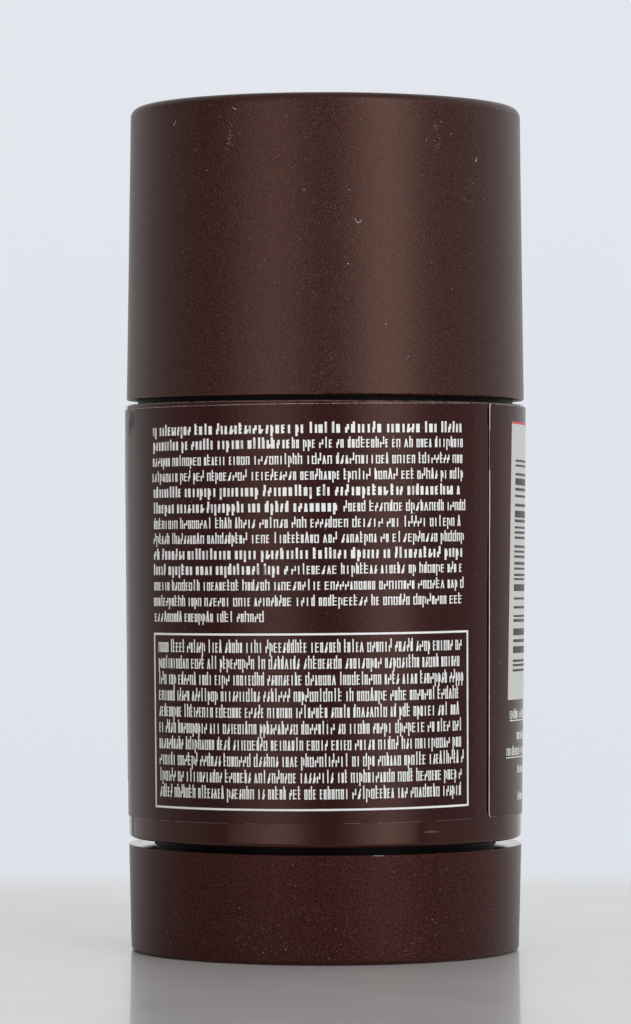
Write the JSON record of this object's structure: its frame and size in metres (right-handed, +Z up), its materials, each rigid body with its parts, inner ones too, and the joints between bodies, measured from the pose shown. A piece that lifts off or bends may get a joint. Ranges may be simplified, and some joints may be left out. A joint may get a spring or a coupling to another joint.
{
  "type": "deodorant stick",
  "caption": "Round twist-up stick pack with a pull-off cap, a ribbed container tube in a glossy sleeve, a wrap label, and a base wheel whose screw raises the solid product.",
  "frame": {"origin": "on the floor, in the middle of the base wheel's foot ring", "axes": "+Z up along the pack's axis through the cap; -Y is the side that shows the label's text in the picture; +X is to the right seen from there"},
  "size_m": [0.0502, 0.0502, 0.105],
  "materials": {
    "cap_satin_brown": "satin, faintly pearlescent",
    "tube_black": "plain moulded gloss",
    "sleeve_gloss_brown": "high gloss",
    "label_film": "satin printed film",
    "wheel_satin_brown": "satin, faintly pearlescent",
    "screw_white": "natural moulded",
    "product_wax": "smooth poured wax"
  },
  "bodies": {
    "barrel": {"inner_tube": "tube_black", "outer_sleeve": "sleeve_gloss_brown", "wrap_label": "label_film"},
    "cap": {"cap": "cap_satin_brown"},
    "wheel": {"base_wheel": "wheel_satin_brown", "spindle": "screw_white"},
    "stick": {"elevator": "screw_white", "deodorant_stick": "product_wax"}
  },
  "joints": [
    {"name": "cap_lift", "type": "slide", "parent": "barrel", "child": "cap", "axis": [0, 0, 1], "range_m": [0, 0.045]},
    {"name": "wheel_turn", "type": "hinge", "parent": "barrel", "child": "wheel", "pos_m": [0, 0, 0], "axis": [0, 0, 1], "range_deg": [0, 1800]},
    {"name": "stick_rise", "type": "slide", "parent": "barrel", "child": "stick", "axis": [0, 0, 1], "range_m": [0, 0.02]}
  ],
  "couplings": [
    {"joint": "wheel_turn", "follows": "stick_rise", "rad_per_m": 1570.8}
  ]
}
